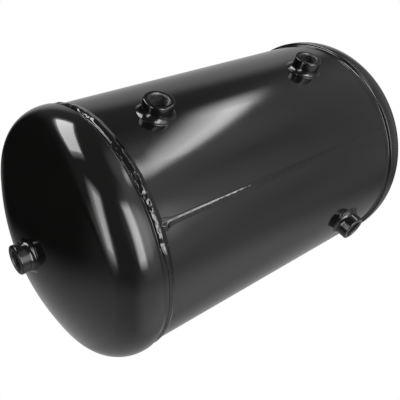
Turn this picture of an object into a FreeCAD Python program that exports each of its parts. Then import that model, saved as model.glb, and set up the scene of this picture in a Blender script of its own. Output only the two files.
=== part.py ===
import FreeCAD, Part
import math
import os

# A compressed-air reservoir of welded steel: a rolled shell, a dished head slid
# over each end, and threaded ports welded on. Lengths are millimetres. X runs
# along the tank and Z is up. The origin is on the tank's axis, halfway along.

# Shell: one plate, rolled until its two edges meet at the seam
shell_outer_radius = 138.0
shell_wall = 3.0
shell_length = 372.0

# Heads: a short straight flange, a knuckle and a crown of one large radius
head_wall = 3.0
skirt_clearance = 0.1        # radial gap between a head's skirt and the shell
skirt_lap = 3.5              # how much of the shell's end the skirt covers
straight_flange = 4.5
knuckle_radius = 40.0
crown_radius = 282.0

# Girth welds: a fillet from each skirt's edge down to the shell
girth_weld_length_near = 13.5  # from the skirt's edge to the toe on the shell
girth_weld_length_far = 7.0
girth_weld_cover = 0.6       # how far the bead laps onto the skirt
girth_weld_bulge = 1.2

# Seam weld: through the plate, with a low cap outside
seam_angle = 45.0            # from the top, towards -Y
seam_gap = 3.0
seam_cap_width = 8.0
seam_cap_height = 1.3
seam_cap_tuck = 4.0          # how far the cap runs into the girth welds

# Ports: round steel bosses for an M22 x 1.5 fitting
boss_radius = 16.0
boss_height = 15.0
boss_rim_chamfer = 1.6
thread_minor_radius = 10.19
thread_mouth_chamfer = 1.4
relief_radius = 11.2         # plain bore under the thread
relief_height = 1.5
wall_hole_radius = 11.2      # the hole in the shell or head behind a port
boss_weld_leg = 5.5
boss_weld_bulge = 0.7

# Where the ports on the shell stand: name, place along X, angle from the top
# towards -Y
port_offset = 112.0
shell_ports = (
    ("top_port_near", -port_offset, 0.0),
    ("top_port_far", port_offset, 0.0),
    ("side_port_far", port_offset, 90.0),
)

# Sizes that follow
shell_inner_radius = shell_outer_radius - shell_wall
skirt_inner_radius = shell_outer_radius + skirt_clearance
head_outer_radius = skirt_inner_radius + head_wall
skirt_edge_x = shell_length / 2 - skirt_lap
knuckle_start_x = skirt_edge_x + straight_flange
crown_reach = math.sqrt(
    (crown_radius - knuckle_radius) ** 2 - (head_outer_radius - knuckle_radius) ** 2
)
crown_centre_x = knuckle_start_x - crown_reach
apex_x = crown_centre_x + crown_radius
girth_toe_near_x = skirt_edge_x - girth_weld_length_near
girth_toe_far_x = skirt_edge_x - girth_weld_length_far

origin = FreeCAD.Vector(0, 0, 0)
along_x = FreeCAD.Vector(1, 0, 0)
along_y = FreeCAD.Vector(0, 1, 0)
up = FreeCAD.Vector(0, 0, 1)


def rod(radius, x_from, x_to):
    """A solid cylinder on the tank's axis."""
    return Part.makeCylinder(radius, x_to - x_from, FreeCAD.Vector(x_from, 0, 0), along_x)


def line(a, b):
    return Part.LineSegment(FreeCAD.Vector(*a), FreeCAD.Vector(*b)).toShape()


def arc(a, middle, b):
    points = [FreeCAD.Vector(*p) for p in (a, middle, b)]
    return Part.Arc(*points).toShape()


def turned(edges, axis):
    """The solid swept by a closed outline turned once about an axis."""
    return Part.Face(Part.Wire(edges)).revolve(origin, axis, 360)


def at_angle(shape, degrees):
    """Turn a shape about the tank's axis, from the top towards -Y."""
    shape.rotate(origin, along_x, degrees)
    return shape


def on_shell(shape, x, degrees):
    """Move a shape built on the Z axis to its place on the shell."""
    shape.translate(FreeCAD.Vector(x, 0, 0))
    return at_angle(shape, degrees)


def on_head(shape, side):
    """Turn a shape built on the Z axis so that it points out of a head."""
    shape.rotate(origin, along_y, 90 * side)
    return shape


def bulged(a, b, bulge):
    """A shallow arc from a to b that stands proud of their chord by bulge."""
    run, rise = b[0] - a[0], b[2] - a[2]
    length = math.hypot(run, rise)
    middle = (
        (a[0] + b[0]) / 2 - bulge * rise / length,
        0,
        (a[2] + b[2]) / 2 + bulge * run / length,
    )
    return arc(a, middle, b)


def head_outline(inset):
    """Points of a head's profile at a depth under its outside, in X and Z."""
    crown = crown_radius - inset
    knuckle = knuckle_radius - inset
    split = math.asin((head_outer_radius - knuckle_radius) / (crown_radius - knuckle_radius))
    knuckle_z = head_outer_radius - knuckle_radius
    half = (math.pi / 2 - split) / 2

    def on_knuckle(angle):
        return (
            knuckle_start_x + knuckle * math.sin(angle),
            0,
            knuckle_z + knuckle * math.cos(angle),
        )

    def on_crown(angle):
        return (crown_centre_x + crown * math.cos(angle), 0, crown * math.sin(angle))

    return {
        "edge": (skirt_edge_x, 0, head_outer_radius - inset),
        "tangent": on_knuckle(0),
        "mid_knuckle": on_knuckle(half),
        "joint": on_knuckle(2 * half),
        "mid_crown": on_crown(split / 2),
        "apex": on_crown(0),
    }


def head(side):
    """A dished head with its port hole, at the +X or -X end."""
    outer = head_outline(0)
    inner = head_outline(head_wall)
    shape = turned(
        [
            line(inner["edge"], outer["edge"]),
            line(outer["edge"], outer["tangent"]),
            arc(outer["tangent"], outer["mid_knuckle"], outer["joint"]),
            arc(outer["joint"], outer["mid_crown"], outer["apex"]),
            line(outer["apex"], inner["apex"]),
            arc(inner["apex"], inner["mid_crown"], inner["joint"]),
            arc(inner["joint"], inner["mid_knuckle"], inner["tangent"]),
            line(inner["tangent"], inner["edge"]),
        ],
        along_x,
    )
    shape = shape.cut(rod(wall_hole_radius, 0, apex_x + head_wall))
    if side < 0:
        shape.rotate(origin, up, 180)
    return shape


def seam_slot():
    """The gap between the plate's edges, as a tall thin block."""
    block = Part.makeBox(
        shell_length,
        seam_gap,
        2 * shell_wall,
        FreeCAD.Vector(-shell_length / 2, -seam_gap / 2, shell_outer_radius - 1.5 * shell_wall),
    )
    return at_angle(block, seam_angle)


def plain_tube():
    half = shell_length / 2
    return rod(shell_outer_radius, -half, half).cut(rod(shell_inner_radius, -half, half))


def shell():
    shape = plain_tube().cut(seam_slot())
    for _, x, degrees in shell_ports:
        drill = Part.makeCylinder(wall_hole_radius, shell_outer_radius + boss_height)
        shape = shape.cut(on_shell(drill, x, degrees))
    return shape


def girth_weld(side):
    """The fillet weld between a skirt's edge and the shell."""
    toe_x = girth_toe_near_x if side < 0 else girth_toe_far_x
    toe = (toe_x, 0, shell_outer_radius)
    root = (skirt_edge_x, 0, shell_outer_radius)
    corner = (skirt_edge_x, 0, head_outer_radius)
    cover = (skirt_edge_x + girth_weld_cover, 0, head_outer_radius)
    shape = turned(
        [
            line(toe, root),
            line(root, corner),
            line(corner, cover),
            bulged(toe, cover, girth_weld_bulge),
        ],
        along_x,
    )
    if side < 0:
        shape.rotate(origin, up, 180)
    return shape


def seam_weld(girth_welds):
    """The butt weld that closes the shell, with its cap between the girth welds."""
    fill = plain_tube().common(seam_slot())
    half_width = seam_cap_width / 2
    toe_z = math.sqrt(shell_outer_radius ** 2 - half_width ** 2)
    crest_z = shell_outer_radius + seam_cap_height
    rise = crest_z - toe_z
    radius = (half_width ** 2 + rise ** 2) / (2 * rise)
    near_x = -girth_toe_near_x - seam_cap_tuck
    far_x = girth_toe_far_x + seam_cap_tuck
    cap = Part.makeCylinder(
        radius, far_x - near_x, FreeCAD.Vector(near_x, 0, crest_z - radius), along_x
    )
    cap = at_angle(cap, seam_angle).cut(rod(shell_outer_radius, near_x, far_x))
    for weld in girth_welds:
        cap = cap.cut(weld)
    return fill.fuse(cap).removeSplitter()


def boss(base):
    """A threaded port on the Z axis, with its face boss_height over base."""
    face = base + boss_height
    thread_start = base + relief_height
    foot = base - shell_wall
    mouth = thread_minor_radius + thread_mouth_chamfer
    rim = boss_radius - boss_rim_chamfer
    corners = [
        (relief_radius, 0, foot),
        (boss_radius, 0, foot),
        (boss_radius, 0, face - boss_rim_chamfer),
        (rim, 0, face),
        (mouth, 0, face),
        (thread_minor_radius, 0, face - thread_mouth_chamfer),
        (thread_minor_radius, 0, thread_start),
        (relief_radius, 0, thread_start - (relief_radius - thread_minor_radius)),
    ]
    edges = [line(a, b) for a, b in zip(corners, corners[1:] + corners[:1])]
    return turned(edges, up)


def boss_weld(base):
    """The fillet weld around a port's foot, on the Z axis."""
    foot = base - shell_wall
    top = (boss_radius, 0, base + boss_weld_leg)
    toe = (boss_radius + boss_weld_leg, 0, base)
    low_toe = (boss_radius + boss_weld_leg + shell_wall, 0, foot)
    low_root = (boss_radius, 0, foot)
    return turned(
        [
            bulged(top, toe, boss_weld_bulge),
            line(toe, low_toe),
            line(low_toe, low_root),
            line(low_root, top),
        ],
        up,
    )


def port_on_shell(x, degrees):
    """A port and its weld, both fitted to the curve of the shell."""
    reach = boss_radius + boss_weld_leg + shell_wall
    plate = rod(shell_outer_radius, x - reach - 1, x + reach + 1)
    port = on_shell(boss(shell_outer_radius), x, degrees).cut(plate)
    weld = on_shell(boss_weld(shell_outer_radius), x, degrees).cut(plate)
    return port, weld


def port_on_head(side):
    """A port and its weld, both fitted to the crown of a head."""
    crown = Part.makeSphere(crown_radius, FreeCAD.Vector(side * crown_centre_x, 0, 0))
    port = on_head(boss(apex_x), side).cut(crown)
    weld = on_head(boss_weld(apex_x), side).cut(crown)
    return port, weld


def build():
    """Every piece of the tank, by name."""
    girth_welds = [girth_weld(-1), girth_weld(1)]
    pieces = {
        "shell": shell(),
        "head_near": head(-1),
        "head_far": head(1),
        "girth_weld_near": girth_welds[0],
        "girth_weld_far": girth_welds[1],
        "seam_weld": seam_weld(girth_welds),
    }
    ports = {name: port_on_shell(x, degrees) for name, x, degrees in shell_ports}
    ports["head_port_near"] = port_on_head(-1)
    ports["head_port_far"] = port_on_head(1)
    for name, (port, weld) in ports.items():
        pieces[name] = port
        pieces[name + "_weld"] = weld
    return pieces


os.makedirs("parts", exist_ok=True)
for name, shape in build().items():
    shape.exportStep(os.path.join("parts", name + ".step"))
    solids = len(shape.Solids)
    print(name, "solids", solids, "valid", shape.isValid(), "volume", round(shape.Volume, 1))
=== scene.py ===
import bpy, bmesh, math, random
from mathutils import Matrix, Vector, noise


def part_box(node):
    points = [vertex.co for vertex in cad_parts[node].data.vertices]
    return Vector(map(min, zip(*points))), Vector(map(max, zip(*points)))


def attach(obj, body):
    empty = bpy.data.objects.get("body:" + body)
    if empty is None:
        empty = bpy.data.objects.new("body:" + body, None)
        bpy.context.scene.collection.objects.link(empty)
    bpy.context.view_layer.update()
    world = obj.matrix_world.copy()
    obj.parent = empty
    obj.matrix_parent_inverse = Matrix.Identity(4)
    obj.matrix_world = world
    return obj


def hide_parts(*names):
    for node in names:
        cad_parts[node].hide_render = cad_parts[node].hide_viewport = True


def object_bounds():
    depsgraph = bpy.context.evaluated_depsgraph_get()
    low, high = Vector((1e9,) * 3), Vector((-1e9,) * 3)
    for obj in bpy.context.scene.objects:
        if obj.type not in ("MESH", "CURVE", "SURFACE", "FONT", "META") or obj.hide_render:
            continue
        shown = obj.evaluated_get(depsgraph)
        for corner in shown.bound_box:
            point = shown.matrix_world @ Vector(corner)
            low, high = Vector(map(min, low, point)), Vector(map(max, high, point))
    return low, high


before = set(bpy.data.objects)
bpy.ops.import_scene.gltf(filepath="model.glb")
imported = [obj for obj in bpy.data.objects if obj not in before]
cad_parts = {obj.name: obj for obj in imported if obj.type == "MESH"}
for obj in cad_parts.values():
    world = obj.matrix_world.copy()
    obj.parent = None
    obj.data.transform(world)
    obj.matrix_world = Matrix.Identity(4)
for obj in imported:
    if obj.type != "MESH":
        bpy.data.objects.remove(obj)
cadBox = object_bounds()
mm = 0.001
print("frame loaded:", len(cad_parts), "nodes")


# Small tools that every piece uses

def smoothNoise(point, size, seed=0.0):  # even noise, about -1 to 1, with lumps of this size
    return noise.noise(Vector(point) / size + Vector((seed, 2.7 * seed, 1.3 * seed)))


def blendBetween(value, low, high):  # 0 below low, 1 above high, eased between them
    t = min(1.0, max(0.0, (value - low) / (high - low)))
    return t * t * (3 - 2 * t)


def outline(bm, points, closed=True):  # a line of vertices in the XZ plane, ready to spin
    verts = [bm.verts.new((x, 0.0, z)) for x, z in points]
    pairs = list(zip(verts, verts[1:] + verts[:1])) if closed else list(zip(verts, verts[1:]))
    return verts + [bm.edges.new(pair) for pair in pairs]


def turnOnce(bm, points, steps, axis=(1, 0, 0)):  # a closed outline turned once about an axis
    bmesh.ops.spin(bm, geom=outline(bm, points), cent=(0, 0, 0), axis=axis, angle=2 * math.pi, steps=steps,
                   use_merge=True)


def widen(vert, scale):  # moves a point on a turned piece away from the tank's axis
    vert.co.y *= scale
    vert.co.z *= scale


def closeUp(bm):  # joins what coincides and turns every face outwards
    bmesh.ops.remove_doubles(bm, verts=bm.verts[:], dist=0.0005 * mm)
    bmesh.ops.recalc_face_normals(bm, faces=bm.faces[:])


def addPiece(name, bm, paint, paintSlot, *nodes, sharp=40):  # turns a bmesh into a finished, riding piece
    mesh = bpy.data.meshes.new(name)
    bm.to_mesh(mesh)
    bm.free()
    mesh.shade_smooth()
    mesh.set_sharp_from_angle(angle=math.radians(sharp))
    piece = bpy.data.objects.new(name, mesh)
    bpy.context.scene.collection.objects.link(piece)
    mesh.materials.append(paint)
    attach(piece, "root")
    if nodes:
        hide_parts(*nodes)
    return piece


# Paint

def srgb(hexColour):  # sRGB hex to linear red, green, blue and alpha
    parts = [int(hexColour[i:i + 2], 16) / 255 for i in (1, 3, 5)]
    return [c / 12.92 if c <= 0.04045 else ((c + 0.055) / 1.055) ** 2.4 for c in parts] + [1.0]


def addNode(tree, kind, settings=None, links=None):  # one node, its settings and what feeds it
    node = tree.nodes.new(kind)
    for key, value in (settings or {}).items():
        if isinstance(key, int) or key in node.inputs:
            node.inputs[key].default_value = value
        else:
            setattr(node, key, value)
    for key, source in (links or {}).items():
        tree.links.new(source, node.inputs[key])
    return node


paint = {
    "gloss": "#080808",          # the black itself
    "worn": "#0d0d0c",           # where the film is thin and dust has settled
    "thread": "#646464",         # bare steel, masked while the rest was sprayed
    "oiled": "#3c3c3d",          # the same steel where oil has settled
    "roughness": 0.08,
    "ior": 1.5,
    "peelSize": 1.6,             # mm, one swell of the sprayed surface
    "peelDepth": 0.010,          # mm
    "streakSize": 26.0,          # mm, patches where the gloss changes a little
    "nibSize": 7.0,              # mm between specks of dust in the paint
    "nibHeight": 0.05,           # mm
    "gritSize": 0.7,             # mm, grains of scale under the paint on a weld
    "ringPitch": 0.45,           # mm between the rings left by the lathe
    "ringHeight": 0.004,         # mm
    "oilSize": 5.0,              # mm, patches of oil in a thread
    "tearSize": 0.5,             # mm, tears left by the tap
    "tearDepth": 0.03,           # mm
}


def startMaterial(name):  # a material with nothing in it yet
    material = bpy.data.materials.new(name)
    material.use_nodes = True
    material.node_tree.nodes.clear()
    return material, material.node_tree


def makePaint(name, rough, peel, grit=0.0, turning=False):
    # Black gloss enamel sprayed on steel: deep, wet-looking mirror broken by a faint orange peel
    material, tree = startMaterial(name)
    place = addNode(tree, "ShaderNodeTexCoord").outputs["Object"]

    def pattern(kind, size, settings=None):  # a pattern whose repeat is this many millimetres
        return addNode(tree, kind, {"Scale": 1 / (size * mm), **(settings or {})}, {"Vector": place})

    streaks = pattern("ShaderNodeTexNoise", paint["streakSize"], {"Detail": 3.0, "Roughness": 0.55})
    swells = pattern("ShaderNodeTexNoise", paint["peelSize"], {"Detail": 1.5, "Roughness": 0.45})
    specks = pattern("ShaderNodeTexVoronoi", paint["nibSize"], {"Randomness": 1.0})
    colour = addNode(tree, "ShaderNodeMix",
                     {"data_type": "RGBA", 6: srgb(paint["gloss"]), 7: srgb(paint["worn"])},
                     {"Factor": streaks.outputs["Fac"]})
    gloss = addNode(tree, "ShaderNodeMapRange",
                    {"From Min": 0.3, "From Max": 0.7, "To Min": rough * 0.8, "To Max": rough * 1.25},
                    {"Value": streaks.outputs["Fac"]})
    nib = addNode(tree, "ShaderNodeMapRange",
                  {"From Min": 0.035, "From Max": 0.0, "To Min": 0.0, "To Max": paint["nibHeight"],
                   "interpolation_type": "SMOOTHSTEP"}, {"Value": specks.outputs["Distance"]})
    height = addNode(tree, "ShaderNodeMath", {"operation": "MULTIPLY_ADD", 1: peel},
                     {0: swells.outputs["Fac"], 2: nib.outputs["Result"]}).outputs[0]
    if grit:
        grains = pattern("ShaderNodeTexNoise", paint["gritSize"], {"Detail": 3.0})
        height = addNode(tree, "ShaderNodeMath", {"operation": "MULTIPLY_ADD", 1: grit},
                         {0: grains.outputs["Fac"], 2: height}).outputs[0]
    if turning:  # rings left by the lathe, just showing through
        radius = addNode(tree, "ShaderNodeAttribute", {"attribute_name": "portRadius"}).outputs["Fac"]
        rings = addNode(tree, "ShaderNodeMath",
                        {"operation": "MULTIPLY", 1: 2 * math.pi / (paint["ringPitch"] * mm)}, {0: radius})
        wave = addNode(tree, "ShaderNodeMath", {"operation": "SINE"}, {0: rings.outputs[0]})
        height = addNode(tree, "ShaderNodeMath", {"operation": "MULTIPLY_ADD", 1: paint["ringHeight"]},
                         {0: wave.outputs[0], 2: height}).outputs[0]
    bump = addNode(tree, "ShaderNodeBump", {"Strength": 1.0, "Distance": mm}, {"Height": height})
    shader = addNode(tree, "ShaderNodeBsdfPrincipled", {"IOR": paint["ior"], "Specular IOR Level": 0.5},
                     {"Base Color": colour.outputs[2], "Roughness": gloss.outputs["Result"],
                      "Normal": bump.outputs["Normal"]})
    addNode(tree, "ShaderNodeOutputMaterial", {}, {"Surface": shader.outputs["BSDF"]})
    return material


def makeBareSteel(name):
    # Steel cut by a tap and wiped with oil: dull silver that darkens in patches
    material, tree = startMaterial(name)
    place = addNode(tree, "ShaderNodeTexCoord").outputs["Object"]
    oil = addNode(tree, "ShaderNodeTexNoise", {"Scale": 1 / (paint["oilSize"] * mm), "Detail": 4.0},
                  {"Vector": place})
    colour = addNode(tree, "ShaderNodeMix",
                     {"data_type": "RGBA", 6: srgb(paint["oiled"]), 7: srgb(paint["thread"])},
                     {"Factor": oil.outputs["Fac"]})
    rough = addNode(tree, "ShaderNodeMapRange", {"To Min": 0.38, "To Max": 0.55}, {"Value": oil.outputs["Fac"]})
    tears = addNode(tree, "ShaderNodeTexNoise", {"Scale": 1 / (paint["tearSize"] * mm), "Detail": 2.0},
                    {"Vector": place})
    bump = addNode(tree, "ShaderNodeBump", {"Strength": 0.5, "Distance": paint["tearDepth"] * mm},
                   {"Height": tears.outputs["Fac"]})
    shader = addNode(tree, "ShaderNodeBsdfPrincipled", {"Metallic": 1.0},
                     {"Base Color": colour.outputs[2], "Roughness": rough.outputs["Result"],
                      "Normal": bump.outputs["Normal"]})
    addNode(tree, "ShaderNodeOutputMaterial", {}, {"Surface": shader.outputs["BSDF"]})
    return material


shellPaint = makePaint("glossEnamelOnRolledPlate", paint["roughness"], paint["peelDepth"])
headPaint = makePaint("glossEnamelOnPressedHead", paint["roughness"] * 0.95, paint["peelDepth"] * 0.8)
weldPaint = makePaint("glossEnamelOverWeld", paint["roughness"] * 0.8, paint["peelDepth"], grit=0.006)
portPaint = makePaint("glossEnamelOnTurnedPort", paint["roughness"] * 1.1, paint["peelDepth"], turning=True)
threadSteel = makeBareSteel("oiledSteelThread")
print("paint mixed")


# Sizes read back from the frame

shellBox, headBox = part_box("shell"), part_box("head_far")
shellRadius = shellBox[1][2]
shellEnd = shellBox[1][0]
headRadius = headBox[1][2]
skirtEdge = headBox[0][0]
crownBase = headBox[1][0]


# Shell: one rolled plate

shellSet = {
    "wall": 3.0,             # mm
    "turns": 360,            # faces round
    "rows": 64,              # faces along
    "pull": 0.16,            # mm the plate draws in beside a girth weld
    "pullReach": 11.0,       # mm
    "wander": 0.05,          # mm of slow unevenness from the rolls
    "wanderSize": 95.0,      # mm
    "trueEnd": 6.0,          # mm at each end that stay truly round, inside the head
    "portHole": 11.2,        # mm radius
    "holeFaces": 96,         # faces round a hole
}


def plateSwell(x, y, z):  # how far the real plate stands off a true cylinder
    swell = shellSet["wander"] * mm * smoothNoise((x * 0.6, y, z), shellSet["wanderSize"] * mm, 3.0)
    toWeld = (abs(x) - girthToe(girthSet["near" if x < 0 else "far"])) / (shellSet["pullReach"] * mm)
    return swell - shellSet["pull"] * mm * math.exp(-toWeld * toWeld)


def buildShell():
    bm = bmesh.new()
    inside = shellRadius - shellSet["wall"] * mm
    rows = shellSet["rows"]
    outer = [(-shellEnd + 2 * shellEnd * i / rows, shellRadius) for i in range(rows + 1)]
    inner = [(shellEnd, inside), (-shellEnd, inside)]
    turnOnce(bm, outer + inner, shellSet["turns"])
    closeUp(bm)
    for vert in bm.verts:
        radius = math.hypot(vert.co.y, vert.co.z)
        if radius > shellRadius - mm and abs(vert.co.x) < shellEnd - shellSet["trueEnd"] * mm:
            widen(vert, 1 + plateSwell(*vert.co) / radius)
    return addPiece("shellPlate", bm, shellPaint, "shell_paint", "shell")


def drillHoles(piece, holes, radius):  # cuts round holes, each along a direction from a point
    for start, direction in holes:
        cutter = bmesh.new()
        bmesh.ops.create_cone(cutter, cap_ends=True, segments=shellSet["holeFaces"], radius1=radius, radius2=radius,
                              depth=10 * shellSet["wall"] * mm)
        turn = Vector((0, 0, 1)).rotation_difference(Vector(direction)).to_matrix().to_4x4()
        bmesh.ops.transform(cutter, matrix=Matrix.Translation(start) @ turn, verts=cutter.verts[:])
        mesh = bpy.data.meshes.new("drill")
        cutter.to_mesh(mesh)
        cutter.free()
        drill = bpy.data.objects.new("drill", mesh)
        bpy.context.scene.collection.objects.link(drill)
        cut = piece.modifiers.new("hole", "BOOLEAN")
        cut.operation, cut.solver, cut.object = "DIFFERENCE", "EXACT", drill
        shaped = piece.evaluated_get(bpy.context.evaluated_depsgraph_get())
        drilled = bpy.data.meshes.new_from_object(shaped)
        piece.modifiers.clear()
        old = piece.data
        piece.data = drilled
        bpy.data.meshes.remove(old)
        bpy.data.objects.remove(drill)
        bpy.data.meshes.remove(mesh)


# Heads: pressed, with a straight skirt, a knuckle and a shallow crown

headSet = {
    "wall": 3.0,             # mm
    "straight": 4.5,         # mm from the skirt's edge to the knuckle
    "knuckle": 40.0,         # mm radius
    "crown": 282.0,          # mm radius
    "hole": 11.2,            # mm radius, under the port
    "edgeRound": {"near": 1.3, "far": 0.5},   # mm, the skirt's edge, melted round by the heavy weld
    "edgeWave": 0.35,        # mm the edge wanders along the tank
    "waveSize": 9.0,         # mm, one lump of that
    "waveReach": 4.0,        # mm from the edge
    "turns": 288,
    "wander": 0.035,         # mm of unevenness from the press
    "wanderSize": 80.0,      # mm
}


def headLine(inset):  # the head's half profile at this depth under its outside, from the skirt to the hole
    knuckle, crown = headSet["knuckle"] * mm - inset, headSet["crown"] * mm - inset
    start = skirtEdge + headSet["straight"] * mm
    centreR = headRadius - headSet["knuckle"] * mm
    centreX = crownBase - headSet["crown"] * mm
    meet = math.asin(centreR / (headSet["crown"] * mm - headSet["knuckle"] * mm))
    holeAt = math.asin(headSet["hole"] * mm / crown)
    top = headRadius - inset
    points = [(skirtEdge + (start - skirtEdge) * i / 6, top) for i in range(6)]
    for i in range(29):
        a = (math.pi / 2 - meet) * i / 28
        points.append((start + knuckle * math.sin(a), centreR + knuckle * math.cos(a)))
    for i in range(1, 45):
        a = meet + (holeAt - meet) * i / 44
        points.append((centreX + crown * math.cos(a), crown * math.sin(a)))
    return points


def buildHead(side, name, node):
    bm = bmesh.new()
    outer, inner = headLine(0.0), headLine(headSet["wall"] * mm)
    rim = headSet["edgeRound"]["near" if side < 0 else "far"] * mm
    turns = [math.pi / 2 * i / 6 for i in range(7)]
    edge = [(skirtEdge + rim * (1 - math.cos(a)), headRadius - rim * (1 - math.sin(a))) for a in turns]
    turnOnce(bm, edge + outer[2:] + inner[::-1], headSet["turns"])
    for vert in bm.verts:  # the press leaves the blank a little uneven
        radius = max(mm, math.hypot(vert.co.y, vert.co.z))
        swell = headSet["wander"] * mm * (smoothNoise(vert.co, headSet["wanderSize"] * mm, 5.0 + side) - 1.0)
        wave = 1 + smoothNoise((0, vert.co.y, vert.co.z), headSet["waveSize"] * mm, 6.0)
        fade = blendBetween(vert.co.x, skirtEdge + 0.5 * mm, skirtEdge + headSet["waveReach"] * mm)
        vert.co.x += headSet["edgeWave"] * mm * wave * (1 - fade)
        vert.co.x += swell * blendBetween(vert.co.x, skirtEdge + 20 * mm, crownBase)
        widen(vert, 1 + swell / radius * blendBetween(radius, 0.5 * headRadius, headRadius))
    if side < 0:
        bmesh.ops.scale(bm, vec=(-1, 1, 1), verts=bm.verts[:])
    closeUp(bm)
    return addPiece(name, bm, headPaint, "head_paint", node)


# Girth welds: a bead laid by hand in the step between each skirt and the shell

girthSet = {
    "turns": 1440,           # faces round
    "step": 0.33,            # mm between points of the profile
    "tuck": 0.9,             # mm the bead runs in past the skirt's edge
    "sunk": 0.6,             # mm its underside lies under the shell's face
    "lower": 0.3,            # share of its height that the bead loses where it eases
    "narrower": 3.2,         # mm
    "near": {                # the heavy hand-laid run
        "reach": 13.3,       # mm from the skirt's edge to the toe
        "profile": (         # distance from the toe and height over the shell, mm
            (0, 0), (1.2, 0.4), (3.0, 1.25), (4.4, 2.0), (5.4, 2.25), (6.2, 2.1), (9.1, 1.08), (9.6, 0.7),
            (10.0, 0.1), (10.4, -0.1), (11.3, 0.2), (13.3, 1.1),
        ),
        "grooveAt": 10.2,    # mm from the toe
        "crestAt": 6.8,      # mm from the toe
        "lump": 0.55,        # mm
        "lumpSize": 9.0,     # mm
        "stray": 0.8,        # mm the toe wanders
        "sway": 0.8,         # mm the crest wanders
        "hand": (            # angle from the top towards the side port, and how unsteady the hand was there
            (-180, 0.5), (-25, 0.5), (-18, 1.1), (-7, 1.1), (-3, 0.25), (8, 0.3), (12, 1.3), (30, 1.2),
            (50, 1.0), (56, 0.12), (120, 0.12), (140, 0.5), (180, 0.5),
        ),
        "easing": (          # the same angle, and how low and narrow the bead runs there
            (-180, 0), (52, 0), (62, 1), (130, 1), (150, 0), (180, 0),
        ),
    },
    "far": {                 # a light, even run
        "reach": 6.8,
        "profile": ((0, 0), (0.8, 0.1), (3.4, 0.27), (4.9, 0.48), (5.3, 0.75), (6.4, 2.85), (6.8, 2.95)),
        "grooveAt": 6.2,
        "crestAt": 3.4,
        "lump": 0.05,
        "lumpSize": 14.0,
        "stray": 0.25,
        "sway": 0.1,
        "hand": ((-180, 1), (180, 1)),
        "easing": ((-180, 0), (180, 0)),
    },
}


def girthToe(run):  # where a weld meets the shell, along the tank
    return skirtEdge - run["reach"] * mm


def between(value, knots):  # reads a height off a line through these knots
    for (v0, h0), (v1, h1) in zip(knots, knots[1:]):
        if value <= v1:
            return h0 + (h1 - h0) * (value - v0) / (v1 - v0)
    return knots[-1][1]


def beadHeight(s, run):  # height over the shell at s mm from the toe, with the profile's corners smoothed
    spread = [s + 0.18 * i for i in range(-2, 3)]
    return sum(between(min(max(v, 0.0), run["reach"]), run["profile"]) for v in spread) / len(spread)


def buildGirthBead(side, name, node, run):
    bm = bmesh.new()
    toe = girthToe(run)
    count = round(run["reach"] / girthSet["step"])
    bead = []
    for i in range(count + 1):
        s = run["reach"] * i / count
        bead.append((toe + s * mm, shellRadius + beadHeight(s, run) * mm))
    back, floor = skirtEdge + girthSet["tuck"] * mm, shellRadius - girthSet["sunk"] * mm
    under = [(back, bead[-1][1]), (back, floor), (toe + 0.3 * mm, floor)]
    turnOnce(bm, bead + under, girthSet["turns"])
    seed = 11.0 + 7 * side
    for vert in bm.verts:
        radius = math.hypot(vert.co.y, vert.co.z)
        s = (vert.co.x - toe) / mm
        if radius < shellRadius - 0.5 * girthSet["sunk"] * mm or s > run["reach"] + 0.1:
            continue  # the underside stays plain
        turn = math.atan2(vert.co.y, vert.co.z)
        hand = between(-math.degrees(turn), run["hand"])
        ease = between(-math.degrees(turn), run["easing"])
        way = (0.0, shellRadius * math.sin(turn), shellRadius * math.cos(turn))
        wide = (1.4 * s * mm, way[1], way[2])
        arch = math.exp(-((s - run["crestAt"]) / (0.3 * run["reach"])) ** 2) * blendBetween(s, 0, 1.5)
        lumps = smoothNoise(wide, run["lumpSize"] * mm, seed)
        lumps += 0.3 * smoothNoise(wide, 0.42 * run["lumpSize"] * mm, seed + 2)
        stray = run["stray"] * (smoothNoise(way, 13 * mm, seed + 6) + 0.5 * smoothNoise(way, 5 * mm, seed + 8))
        sway = run["sway"] * (smoothNoise(way, 12 * mm, seed + 9) + 0.4 * smoothNoise(way, 5 * mm, seed + 4))
        low = 1 - s / run["reach"]
        tuck = girthSet["narrower"] * blendBetween(s, 2, 8) * (1 - blendBetween(s, run["grooveAt"], run["reach"]))
        vert.co.x += mm * (stray * low ** 2 + hand * sway * arch - ease * tuck)
        drop = girthSet["lower"] * ease * max(0.0, radius - shellRadius) * (s < run["grooveAt"])
        widen(vert, 1 + (2 * run["lump"] * lumps * hand * arch * mm - drop) / radius)
    if side < 0:
        bmesh.ops.scale(bm, vec=(-1, 1, 1), verts=bm.verts[:])
    closeUp(bm)
    return addPiece(name, bm, weldPaint, "weld_paint", node, sharp=75)


# Seam weld: a low cap with a narrow ridge along the plate's joined edges

seamSet = {
    "angle": 45.0,           # degrees from the top, towards the side port
    "width": 8.0,            # mm
    "base": 0.14,            # mm, the flat part of the cap
    "ridge": (               # place along the tank and slope of the ridge's flanks, as rise over run
        (-173, 0.56), (-150, 0.62), (-60, 0.70), (-36, 0.56), (0, 0.44), (180, 0.34),
    ),
    "ridgeHalf": 1.95,       # mm, half the ridge's width
    "crestRound": 0.55,      # mm
    "lump": 0.09,            # change of slope along the run
    "wander": 0.35,          # mm sideways
    "toeRound": 0.22,        # mm, where a flank runs out into the cap
    "edge": 0.06,            # mm the cap's two edges sink into the plate
    "tuck": 3.5,             # mm it runs in under each girth weld
    "sunk": 1.2,             # mm its underside lies under the shell's face
    "start": {               # the lump where the run was started, mm
        "at": -167.5,        # along the tank
        "reach": 3.4,
        "wider": 1.7,        # added to the ridge's half width
        "aside": -1.7,
        "flare": 0.6,        # share by which the cap widens there
        "flareReach": 6.0,
    },
    "steps": 720,            # faces along
    "across": 36,            # faces across
}


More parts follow.
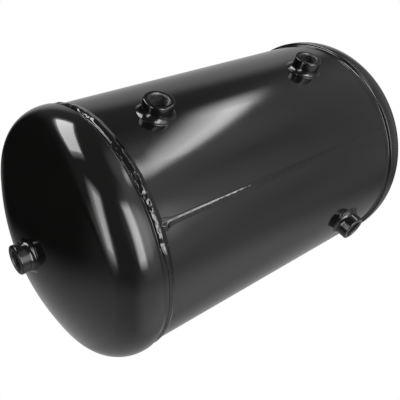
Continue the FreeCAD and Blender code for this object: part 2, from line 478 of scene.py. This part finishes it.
def ridgeRise(x, y):  # the ridge's height over its cap, with even flanks and a rounded crest, all in mm
    slope = between(x, seamSet["ridge"])
    uneven = smoothNoise((x, 0, 0), 22.0, 21.0) + 0.8 * smoothNoise((x, 0.25 * y, 0), 6.0, 23.0)
    slope += seamSet["lump"] * uneven
    start = seamSet["start"]
    near = math.exp(-((x - start["at"]) / start["reach"]) ** 2)
    off = abs(y - seamSet["wander"] * smoothNoise((x, 0, 0), 30.0, 25.0) - start["aside"] * near)
    crest = math.hypot(off, seamSet["crestRound"]) - seamSet["crestRound"]
    top = slope * (seamSet["ridgeHalf"] + start["wider"] * near - crest)
    return 0.5 * (top + math.hypot(top, seamSet["toeRound"]))


def buildSeamBead():
    bm = bmesh.new()
    half = seamSet["width"] / 2 * mm
    count = seamSet["across"]
    first = -girthToe(girthSet["near"]) - seamSet["tuck"] * mm
    last = girthToe(girthSet["far"]) + seamSet["tuck"] * mm
    floor = shellRadius - seamSet["sunk"] * mm
    section = [(half * (1 - 2 * i / count), shellRadius) for i in range(count + 1)]
    section += [(-half, floor), (half, floor)]
    verts = [bm.verts.new((first, y, z)) for y, z in section]
    start = bm.faces.new(verts)
    step = (last - first) / seamSet["steps"]
    bmesh.ops.spin(bm, geom=[start] + start.edges[:] + verts, cent=(0, 0, 0), axis=(1, 0, 0), angle=0.0,
                   steps=seamSet["steps"], dvec=(step, 0, 0), use_merge=False)
    closeUp(bm)
    begun = seamSet["start"]
    for vert in bm.verts:
        x, y = vert.co.x, vert.co.y
        if vert.co.z < shellRadius - 0.5 * seamSet["sunk"] * mm:
            continue  # the underside stays plain
        flat = seamSet["base"] * (1 - blendBetween(abs(y), 0.78 * half, 0.96 * half)) - seamSet["edge"]
        y *= 1 + begun["flare"] * math.exp(-((x / mm - begun["at"]) / begun["flareReach"]) ** 2)
        vert.co.y = y
        rise = ridgeRise(x / mm, y / mm) + flat
        vert.co.z = math.sqrt(shellRadius ** 2 - y * y) + rise * mm
    bmesh.ops.rotate(bm, cent=(0, 0, 0), matrix=Matrix.Rotation(math.radians(seamSet["angle"]), 3, "X"),
                     verts=bm.verts[:])
    return addPiece("seamBead", bm, weldPaint, "weld_paint", "seam_weld", sharp=60)


# Spatter: drops of weld metal that stuck where the seam's run was started, and beside the near girth weld

spatterSet = {
    "drops": (               # place along the tank, angle from the top, radius and height, mm and degrees
        (-166.2, 47.3, 1.6, 1.3), (-163.4, 46.9, 0.9, 0.8),
        (-170.5, 52.4, 1.6, 1.6), (-173.5, 31.5, 1.9, 2.4), (-172.8, -12.0, 1.6, 2.0),
    ),
    "fine": 14,              # how many fine drops beside the near girth weld
    "fineSize": (0.25, 0.6),   # mm
    "fineReach": 22.0,       # mm from the toe
}


def buildSpatter():
    chance = random.Random(9)
    drops = list(spatterSet["drops"])
    for _ in range(spatterSet["fine"]):
        size = chance.uniform(*spatterSet["fineSize"])
        along = -girthToe(girthSet["near"]) / mm + spatterSet["fineReach"] * chance.random() ** 2
        drops.append((along, chance.uniform(-180, 180), size, size * 0.7))
    bm = bmesh.new()
    for along, angle, size, height in drops:
        turn = Matrix.Rotation(math.radians(angle), 4, "X")
        place = Matrix.Translation((along * mm, 0, 0)) @ turn @ Matrix.Translation((0, 0, shellRadius))
        bmesh.ops.create_icosphere(bm, subdivisions=3, radius=mm,
                                   matrix=place @ Matrix.Diagonal((size, 0.85 * size, height, 1)))
    return addPiece("weldSpatter", bm, weldPaint, "weld_paint", sharp=180)


# Ports: turned steel bosses with an M22 x 1.5 thread, each in its own fillet weld

portSet = {
    "radius": 16.0,          # mm
    "height": 15.0,          # mm over the plate
    "foot": -2.4,            # mm, where the boss ends inside the wall
    "rimChamfer": 1.6,       # mm
    "minor": 10.19,          # mm, the thread's crests
    "major": 11.0,           # mm, the thread's roots
    "pitch": 1.5,            # mm
    "mouth": 1.4,            # mm chamfer at the mouth
    "relief": 11.2,          # mm radius of the plain bore under the thread
    "threadStart": 1.5,      # mm over the plate
    "edgeBreak": 0.12,       # mm, the mouth's edge, broken with a file
    "turns": 96,             # faces round
}
portBeadSet = {
    "out": 5.5,              # mm from the port to the toe
    "up": 5.8,               # mm up the port
    "outOnHead": 4.4,        # mm
    "upOnHead": 7.6,         # mm
    "hollow": 0.95,          # mm
    "uneven": 0.5,           # mm, how much fuller the weld is on its heavy side
    "narrow": 0.9,           # mm, how much its toe draws in on the light side
    "toe": 0.25,             # mm, the step at the toe
    "pitch": 2.6,            # mm between ripples
    "ripple": 0.015,         # mm
    "lump": 0.08,            # mm
    "turns": 360,            # faces round
    "rows": 24,              # faces from the toe to the port
}
ports = {                    # node, the way it points, and where round it the weld is heaviest, degrees
    "topPortNear": ("top_port_near", (0, 0, 1), 155),
    "topPortFar": ("top_port_far", (0, 0, 1), 100),
    "sidePortFar": ("side_port_far", (0, -1, 0), 20),
    "headPortNear": ("head_port_near", (-1, 0, 0), 60),
    "headPortFar": ("head_port_far", (1, 0, 0), 250),
}


def portPlace(node, direction):  # where a port stands: turns local Z to its direction, local X along the tank
    low, high = (Vector(corner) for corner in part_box(node))
    middle = (low + high) / 2
    out = Vector(direction)
    onHead = abs(out.x) > 0.5
    base = crownBase if onHead else shellRadius
    along = Vector((0, 1, 0)) if onHead else Vector((1, 0, 0))
    start = out * base + (Vector((0, 0, 0)) if onHead else Vector((middle.x, 0, 0)))
    across = out.cross(along)
    turn = Matrix((along, across, out)).transposed().to_4x4()
    return Matrix.Translation(start) @ turn, onHead


def surfaceDrop(x, y, onHead):  # how far the tank's surface falls away beside a port's centre
    radius = headSet["crown"] * mm if onHead else shellRadius
    off = math.hypot(x, y) if onHead else abs(y)
    return radius - math.sqrt(radius * radius - off * off)


def buildPort(name, node, direction):
    place, onHead = portPlace(node, direction)
    face, foot = portSet["height"] * mm, portSet["foot"] * mm
    minor, major, pitch = portSet["minor"] * mm, portSet["major"] * mm, portSet["pitch"] * mm
    bm = bmesh.new()
    flank = (major - minor) * math.tan(math.radians(30))
    crest = pitch / 4
    points, z = [], foot - 1.5 * pitch
    while z < face + pitch:
        points += [(minor, z), (minor, z + crest), (major, z + crest + flank), (major, z + pitch - flank)]
        z += pitch
    bmesh.ops.spin(bm, geom=outline(bm, points, closed=False), cent=(0, 0, 0), axis=(0, 0, 1), angle=2 * math.pi,
                   steps=portSet["turns"], dvec=(0, 0, pitch / portSet["turns"]), use_merge=False)
    bmesh.ops.remove_doubles(bm, verts=bm.verts[:], dist=0.002 * mm)
    start = portSet["threadStart"] * mm
    for vert in bm.verts:  # the mouth's chamfer and the relief cut the thread away at its ends
        radius = math.hypot(vert.co.x, vert.co.y)
        mouth = minor + min(portSet["mouth"] * mm, portSet["mouth"] * mm - (face - vert.co.z))
        relief = min(portSet["relief"] * mm, minor + start - vert.co.z)
        grow = max(radius, mouth, relief) / radius
        vert.co.x *= grow
        vert.co.y *= grow
    for level, keep in ((face, 1), (foot, -1)):
        bmesh.ops.bisect_plane(bm, geom=bm.verts[:] + bm.edges[:] + bm.faces[:], dist=0.0005 * mm,
                               plane_co=(0, 0, level), plane_no=(0, 0, keep), clear_outer=True)
    edge = [e for e in bm.edges if e.is_boundary and all(abs(v.co.z - face) < 0.01 * mm for v in e.verts)]
    bottom = [e for e in bm.edges if e.is_boundary and e not in edge]
    rim, wall = portSet["rimChamfer"] * mm, portSet["radius"] * mm
    outside = [(minor + portSet["mouth"] * mm + 0.18 * mm, face)]
    for i in range(7):  # the chamfer, rounded over by the paint
        a = math.pi / 12 * i
        outside.append((wall - rim + rim * math.sin(a), face - rim + rim * math.cos(a)))
    outside += [(wall, 4.5 * mm), (wall, foot)]
    for radius, level in outside:
        grown = bmesh.ops.extrude_edge_only(bm, edges=edge)["geom"]
        edge = [item for item in grown if isinstance(item, bmesh.types.BMEdge)
                and all(v in grown for v in item.verts) and item.is_boundary]
        for vert in {v for e in edge for v in e.verts}:
            scale = radius / math.hypot(vert.co.x, vert.co.y)
            vert.co.x *= scale
            vert.co.y *= scale
            vert.co.z = level
    bmesh.ops.bridge_loops(bm, edges=edge + bottom)
    closeUp(bm)
    bevelled = [e for e in bm.edges if all(abs(v.co.z - face) < 0.01 * mm
                and abs(math.hypot(v.co.x, v.co.y) - minor - portSet["mouth"] * mm) < 0.02 * mm for v in e.verts)]
    bmesh.ops.bevel(bm, geom=bevelled, offset=portSet["edgeBreak"] * mm, offset_type="OFFSET", segments=1,
                    profile=0.5, affect="EDGES", material=-1)
    ringLayer = bm.verts.layers.float.new("portRadius")
    for vert in bm.verts:
        vert[ringLayer] = math.hypot(vert.co.x, vert.co.y)
    for surface in bm.faces:  # the mouth, the thread and the relief are bare
        middle = surface.calc_center_median()
        inBore = math.hypot(middle.x, middle.y) < (portSet["minor"] + portSet["mouth"]) * mm
        surface.material_index = int(inBore and middle.z < face - 0.01 * mm)
    bmesh.ops.transform(bm, matrix=place, verts=bm.verts[:])
    bmesh.ops.recalc_face_normals(bm, faces=bm.faces[:])
    port = addPiece(name, bm, portPaint, "port_paint", node, sharp=32)
    port.data.materials.append(threadSteel)
    return port


def buildPortBead(name, node, direction, heavy, seed):
    place, onHead = portPlace(node, direction)
    wall, on = portSet["radius"] * mm, "OnHead" if onHead else ""
    out, up = portBeadSet["out" + on] * mm, portBeadSet["up" + on] * mm
    bm = bmesh.new()
    rows = portBeadSet["rows"]
    bead = [(wall + out * (1 - i / rows), up * i / rows) for i in range(rows + 1)]
    under = [(wall - 0.5 * mm, up - 0.3 * mm), (wall - 0.5 * mm, -1.5 * mm), (wall + out * 0.8, -1.0 * mm)]
    turnOnce(bm, bead + under, portBeadSet["turns"], axis=(0, 0, 1))
    middle = wall + 3 * mm
    count = round(2 * math.pi * middle / (portBeadSet["pitch"] * mm))
    for vert in bm.verts:
        radius = math.hypot(vert.co.x, vert.co.y)
        turn = math.atan2(vert.co.y, vert.co.x)
        if radius > wall - 0.01 * mm and vert.co.z > -0.01 * mm:
            t = vert.co.z / up  # 0 at the toe, 1 on the port
            arch = 4 * t * (1 - t)
            way = (middle * math.cos(turn), middle * math.sin(turn), 0.0)
            ripple = math.sin(count * (turn + 1.2 * mm * arch / middle) + 1.5 * smoothNoise(way, 9 * mm, seed + 1))
            lumps = smoothNoise(way, 11 * mm, seed) + 0.3 * smoothNoise(way, 4 * mm, seed + 2)
            swell = portBeadSet["uneven"] * math.cos(turn - math.radians(heavy)) - portBeadSet["hollow"]
            lift = mm * (arch * (swell + portBeadSet["ripple"] * ripple)
                         + portBeadSet["lump"] * lumps * (0.4 + 0.6 * arch))
            step = portBeadSet["toe"] * mm * blendBetween(t, 0, 0.06) * (1 - t)
            drawIn = portBeadSet["narrow"] * mm * (1 - math.cos(turn - math.radians(heavy))) * (1 - t)
            grow = (radius + 0.7 * lift - drawIn) / radius
            vert.co.x *= grow
            vert.co.y *= grow
            vert.co.z += 0.7 * lift + step
        vert.co.z -= surfaceDrop(vert.co.x, vert.co.y, onHead)
    bmesh.ops.transform(bm, matrix=place, verts=bm.verts[:])
    closeUp(bm)
    return addPiece(name + "Bead", bm, weldPaint, "weld_paint", node + "_weld", sharp=75)


shellPlate = buildShell()
drillHoles(shellPlate, [(tuple(portPlace(*ports[name][:2])[0].translation), ports[name][1])
                        for name in ("topPortNear", "topPortFar", "sidePortFar")], shellSet["portHole"] * mm)
shellPlate.data.shade_smooth()
shellPlate.data.set_sharp_from_angle(angle=math.radians(40))
print("shell rolled:", len(shellPlate.data.polygons), "faces")
for side, which in ((-1, "Near"), (1, "Far")):
    buildHead(side, "head" + which, "head_" + which.lower())
    buildGirthBead(side, "girthBead" + which, "girth_weld_" + which.lower(), girthSet[which.lower()])
buildSeamBead()
buildSpatter()
print("heads pressed, girth and seam welds laid")
for number, (name, (node, direction, heavy)) in enumerate(ports.items()):
    buildPort(name, node, direction)
    buildPortBead(name, node, direction, heavy, 31.0 + 7 * number)
print("ports set")


# Studio: pale floor and backdrop, soft boxes and gentle bounce all round

def heading(azimuth, elevation):  # azimuth from +Y towards +X, both in degrees
    a, e = math.radians(azimuth), math.radians(elevation)
    return Vector((math.sin(a) * math.cos(e), math.cos(a) * math.cos(e), math.sin(e)))


studio = {
    "floorRadius": 20.0,     # m
    "backdropRadius": 30.0,  # m
    "pale": "#ffffff",
    "distance": 6.0,         # m to each soft box
    "softEdge": 0.022,       # how far a box's edge fades, as a share of the distance
    "softBoxes": {           # middle, lean of the long side, half sizes, glow, its spill's glow and fades
        "backBox": ((-20.8, 38.3), -20.1, (0.375, 0.166), 6.8, 2.8, (0.121, 0.135, 0.044, 0.072)),
        "leftStrip": ((-97.3, 14.4), 70.1, (0.357, 0.090), 3.0, 4.2, (0.217, 0.203, 0.079, 0.198)),
        "frontBox": ((-171.3, 36.6), 85.8, (0.392, 0.114), 1.7, 6.9, (0.196, 0.137, 0.131, 0.111)),
        "rightStrip": ((78.3, 50.9), 35.9, (0.228, 0.031), 1.9, 7.0, (0.210, 0.231, 0.076, 0.021)),
    },
    "base": 0.129,           # glow of the dim room
    "shade": ((-35, -19), 49, 34, 0.96),   # middle, outer and inner reach in degrees, share taken from the base
    "bounce": [              # middle, outer and inner reach in degrees, glow added
        ((184, -68), 67.5, 49, 0.33),      # table top under and in front
        ((118, 36), 59, 28, 0.33),         # white wall on the right
        ((169, -19), 46, 0, 0.52),         # wall behind the camera
        ((44, -13), 37, 23, 0.41),         # gap at the far right
        ((96, 64), 25, 0, 0.47),           # ceiling over the right strip
        ((-97, -2), 22, 11, 0.49),         # spill beside the left strip
        ((169, 37), 45, 0, 0.81),          # spill round the front box
        ((166, 35), 27, 0, 2.51),          # and its bright middle
    ],
}


def boxSides(middle, lean):  # the way from the tank to a box, and along its long and short sides
    azimuth, elevation = (math.radians(angle) for angle in middle)
    away = heading(*middle)
    east = Vector((math.cos(azimuth), -math.sin(azimuth), 0))
    north = Vector((-math.sin(azimuth) * math.sin(elevation), -math.cos(azimuth) * math.sin(elevation),
                    math.cos(elevation)))
    long = east * math.cos(math.radians(lean)) + north * math.sin(math.radians(lean))
    return away, long, away.cross(long)


def addSoftBox(name, middle, lean, half, glow):
    away, long, short = boxSides(middle, lean)
    light = bpy.data.lights.new(name, "AREA")
    light.shape = "RECTANGLE"
    light.size, light.size_y = (2 * studio["distance"] * part for part in half)
    light.energy = glow * math.pi * light.size * light.size_y
    lamp = bpy.data.objects.new(name, light)
    lamp.matrix_world = (Matrix.Translation(away * studio["distance"])
                         @ Matrix((long, short, away)).transposed().to_4x4())
    lamp.visible_camera = False
    bpy.context.scene.collection.objects.link(lamp)


def buildRoom():  # the soft light that comes from everywhere else
    world = bpy.data.worlds.new("softRoom")
    bpy.context.scene.world = world
    world.use_nodes = True
    tree = world.node_tree
    tree.nodes.clear()
    direction = addNode(tree, "ShaderNodeTexCoord").outputs["Generated"]

    def ramp(value, low, high):
        return addNode(tree, "ShaderNodeMapRange",
                       {"interpolation_type": "SMOOTHSTEP", "From Min": low, "From Max": high},
                       {"Value": value}).outputs["Result"]

    def lobe(middle, outer, inner):  # a round patch of glow that fades from its inner to its outer reach
        near = addNode(tree, "ShaderNodeVectorMath", {"operation": "DOT_PRODUCT", 1: heading(*middle)},
                       {0: direction})
        return ramp(near.outputs["Value"], math.cos(math.radians(outer)), math.cos(math.radians(inner)))

    middle, outer, inner, share = studio["shade"]
    glow = addNode(tree, "ShaderNodeMath",
                   {"operation": "MULTIPLY_ADD", 1: -share * studio["base"], 2: studio["base"]},
                   {0: lobe(middle, outer, inner)}).outputs[0]
    for middle, outer, inner, strength in studio["bounce"]:
        glow = addNode(tree, "ShaderNodeMath", {"operation": "MULTIPLY_ADD", 1: strength},
                       {0: lobe(middle, outer, inner), 2: glow}).outputs[0]

    def times(first, second, operation="MULTIPLY"):
        return addNode(tree, "ShaderNodeMath", {"operation": operation}, {0: first, 1: second}).outputs[0]

    soft = studio["softEdge"]
    for middle, lean, (halfLong, halfShort), core, strength, fades in studio["softBoxes"].values():
        ahead, along, across = (addNode(tree, "ShaderNodeVectorMath", {"operation": "DOT_PRODUCT", 1: side},
                                        {0: direction}).outputs["Value"] for side in boxSides(middle, lean))
        spill = ramp(ahead, 0.04, 0.06)  # nothing behind the tank
        for way, half, fadeLow, fadeHigh in ((times(along, ahead, "DIVIDE"), halfLong, fades[0], fades[1]),
                                             (times(across, ahead, "DIVIDE"), halfShort, fades[2], fades[3])):
            spill = times(spill, ramp(way, -half - fadeLow - soft, -half + soft))
            spill = times(spill, ramp(way, half + fadeHigh + soft, half - soft))
        glow = addNode(tree, "ShaderNodeMath", {"operation": "MULTIPLY_ADD", 1: strength},
                       {0: spill, 2: glow}).outputs[0]
    air = addNode(tree, "ShaderNodeBackground", {"Color": srgb(studio["pale"])}, {"Strength": glow})
    addNode(tree, "ShaderNodeOutputWorld", {}, {"Surface": air.outputs["Background"]})


def paleSurface(name, bm, colour):  # floor or backdrop, lit from within so that it stays even
    material, tree = startMaterial(name)
    light = addNode(tree, "ShaderNodeEmission", {"Color": srgb(colour), "Strength": 1.0})
    addNode(tree, "ShaderNodeOutputMaterial", {}, {"Surface": light.outputs["Emission"]})
    mesh = bpy.data.meshes.new(name)
    bm.to_mesh(mesh)
    bm.free()
    mesh.materials.append(material)
    surface = bpy.data.objects.new(name, mesh)
    bpy.context.scene.collection.objects.link(surface)
    surface.visible_glossy = surface.visible_diffuse = surface.visible_shadow = False
    surface.visible_transmission = False


floorMesh = bmesh.new()
bmesh.ops.create_circle(floorMesh, cap_ends=True, segments=96, radius=studio["floorRadius"],
                        matrix=Matrix.Translation((0, 0, cadBox[0][2])))
paleSurface("paleFloor", floorMesh, studio["pale"])
sweepMesh = bmesh.new()
bmesh.ops.create_uvsphere(sweepMesh, u_segments=48, v_segments=24, radius=studio["backdropRadius"])
bmesh.ops.reverse_faces(sweepMesh, faces=sweepMesh.faces[:])
paleSurface("paleBackdrop", sweepMesh, studio["pale"])
for name, (middle, lean, half, glow, spillGlow, fades) in studio["softBoxes"].items():
    addSoftBox(name, middle, lean, half, glow)
buildRoom()
bpy.context.scene.view_settings.view_transform = "Standard"
print("studio lit")


# Camera

cameraSet = {
    "place": (-0.41431, -0.32561, 0.43855),  # m
    "looks": (0.53891, 0.47163, -0.69795),
    "top": (0.33674, 0.63886, 0.69171),
    "lens": 48.34,           # mm on a 36 mm sensor
    "shift": (0.0564, 0.0407),
}
camera = bpy.data.cameras.new("productCamera")
camera.sensor_width = 36.0
camera.lens = cameraSet["lens"]
camera.shift_x, camera.shift_y = cameraSet["shift"]
camera.clip_end = 100.0
tripod = bpy.data.objects.new("productCamera", camera)
looks, top = Vector(cameraSet["looks"]).normalized(), Vector(cameraSet["top"])
right = looks.cross(top).normalized()
tripod.matrix_world = (Matrix.Translation(cameraSet["place"])
                       @ Matrix((right, right.cross(looks), -looks)).transposed().to_4x4())
bpy.context.scene.collection.objects.link(tripod)
bpy.context.scene.camera = tripod

print("camera set")
